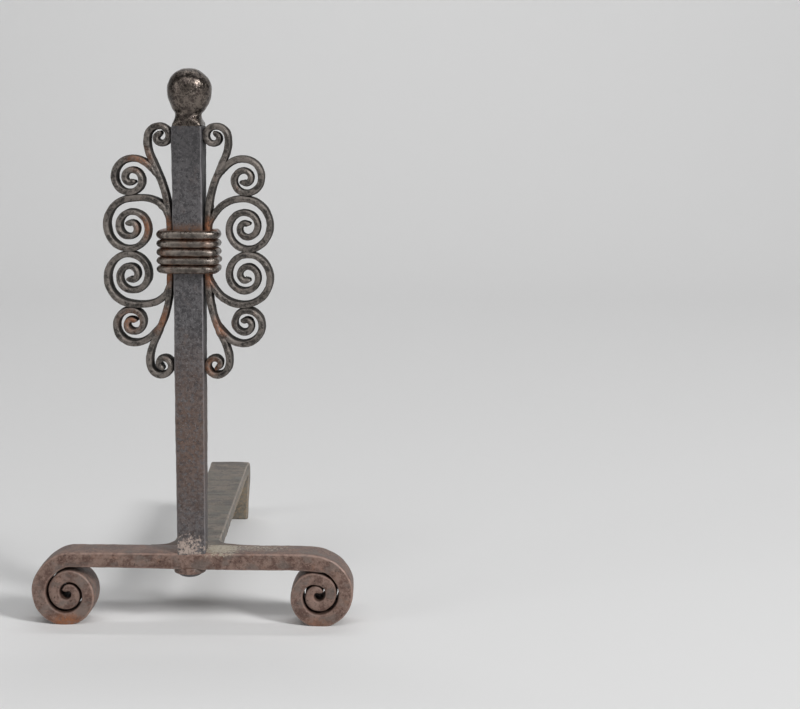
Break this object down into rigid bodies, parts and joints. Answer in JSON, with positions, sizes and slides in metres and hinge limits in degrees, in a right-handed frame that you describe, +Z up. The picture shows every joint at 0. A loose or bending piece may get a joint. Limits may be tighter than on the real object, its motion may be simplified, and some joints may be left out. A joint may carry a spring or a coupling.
{
  "type": "andiron",
  "caption": "Wrought iron fire dog: square post with a ball finial and collared scrollwork on a scroll-footed front bar, with a log rest running back to a rear leg.",
  "frame": {"origin": "on the floor, in the middle of the whole piece's box", "axes": "+Z up; +X to the right across the front bar; the front faces -Y and the log rest runs towards +Y"},
  "size_m": [0.2738, 0.4166, 0.4704],
  "materials": {
    "scroll_iron": "hammered wrought iron, dark brown-black, worn satin edges",
    "collar_iron": "wrought iron rings, brown-grey, rusty in the joints",
    "post_iron": "speckled dark blue-grey scale, browner towards the foot",
    "ball_iron": "pitted dark brown with a soft sheen",
    "bar_iron": "reddish brown oxide with grey patches",
    "rest_iron": "ashy grey, dull, with cross striations and rusty edges"
  },
  "bodies": {
    "root": {"crossbar": "bar_iron", "billet_bar": "rest_iron", "post": "post_iron", "tenon_washer": "bar_iron", "ball_finial": "ball_iron", "collar_ring_1": "collar_iron", "collar_ring_2": "collar_iron", "collar_ring_3": "collar_iron", "collar_ring_4": "collar_iron", "collar_ring_5": "collar_iron", "stem_right": "scroll_iron", "stem_left": "scroll_iron", "scroll_large_upper_right": "scroll_iron", "scroll_large_lower_right": "scroll_iron", "scroll_large_upper_left": "scroll_iron", "scroll_large_lower_left": "scroll_iron", "scroll_mid_upper_right": "scroll_iron", "scroll_mid_lower_right": "scroll_iron", "scroll_mid_upper_left": "scroll_iron", "scroll_mid_lower_left": "scroll_iron"}
  },
  "joints": []
}
